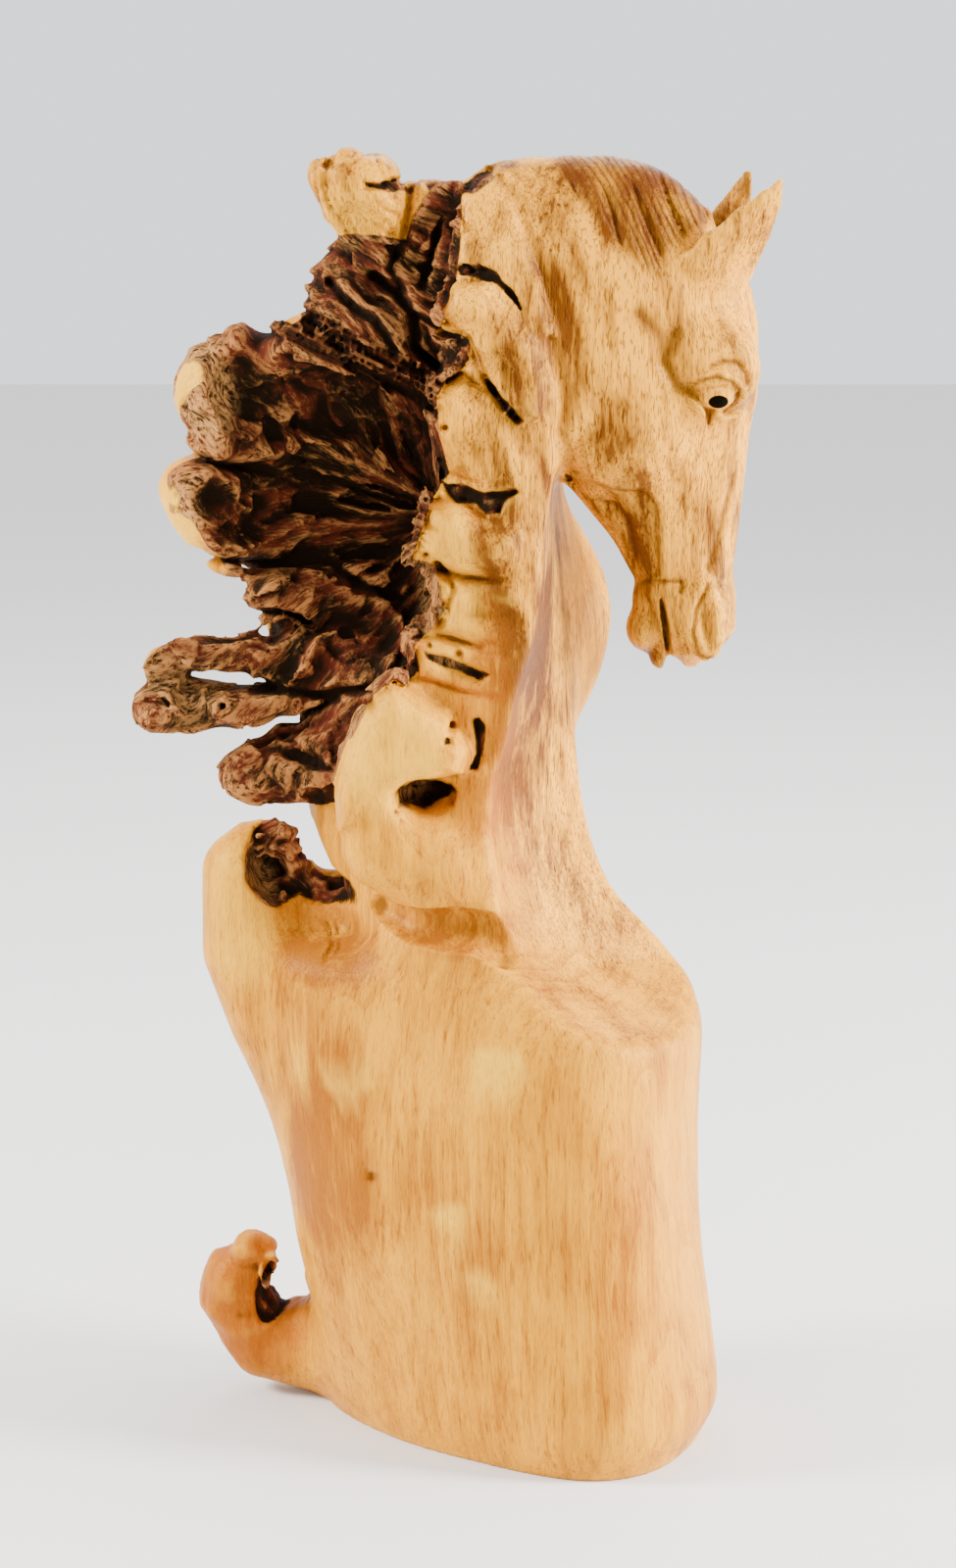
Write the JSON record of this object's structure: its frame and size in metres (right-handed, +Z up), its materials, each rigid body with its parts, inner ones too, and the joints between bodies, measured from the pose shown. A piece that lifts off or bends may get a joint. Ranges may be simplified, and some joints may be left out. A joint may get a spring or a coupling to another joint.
{
  "type": "carved horse figurine",
  "caption": "Bowed horse head and neck carved from one upright piece of root wood, with a rough natural root behind the neck and a flat sawn underside.",
  "frame": {"origin": "on the flat sawn underside, below the middle of the figure's width", "axes": "+Z up, +X the way the horse's head faces, -Y the horse's right side, which the picture shows"},
  "size_m": [0.1966, 0.1135, 0.4],
  "materials": {
    "wood": "satin"
  },
  "bodies": {
    "root": {"horse_carving": "wood"}
  },
  "joints": []
}
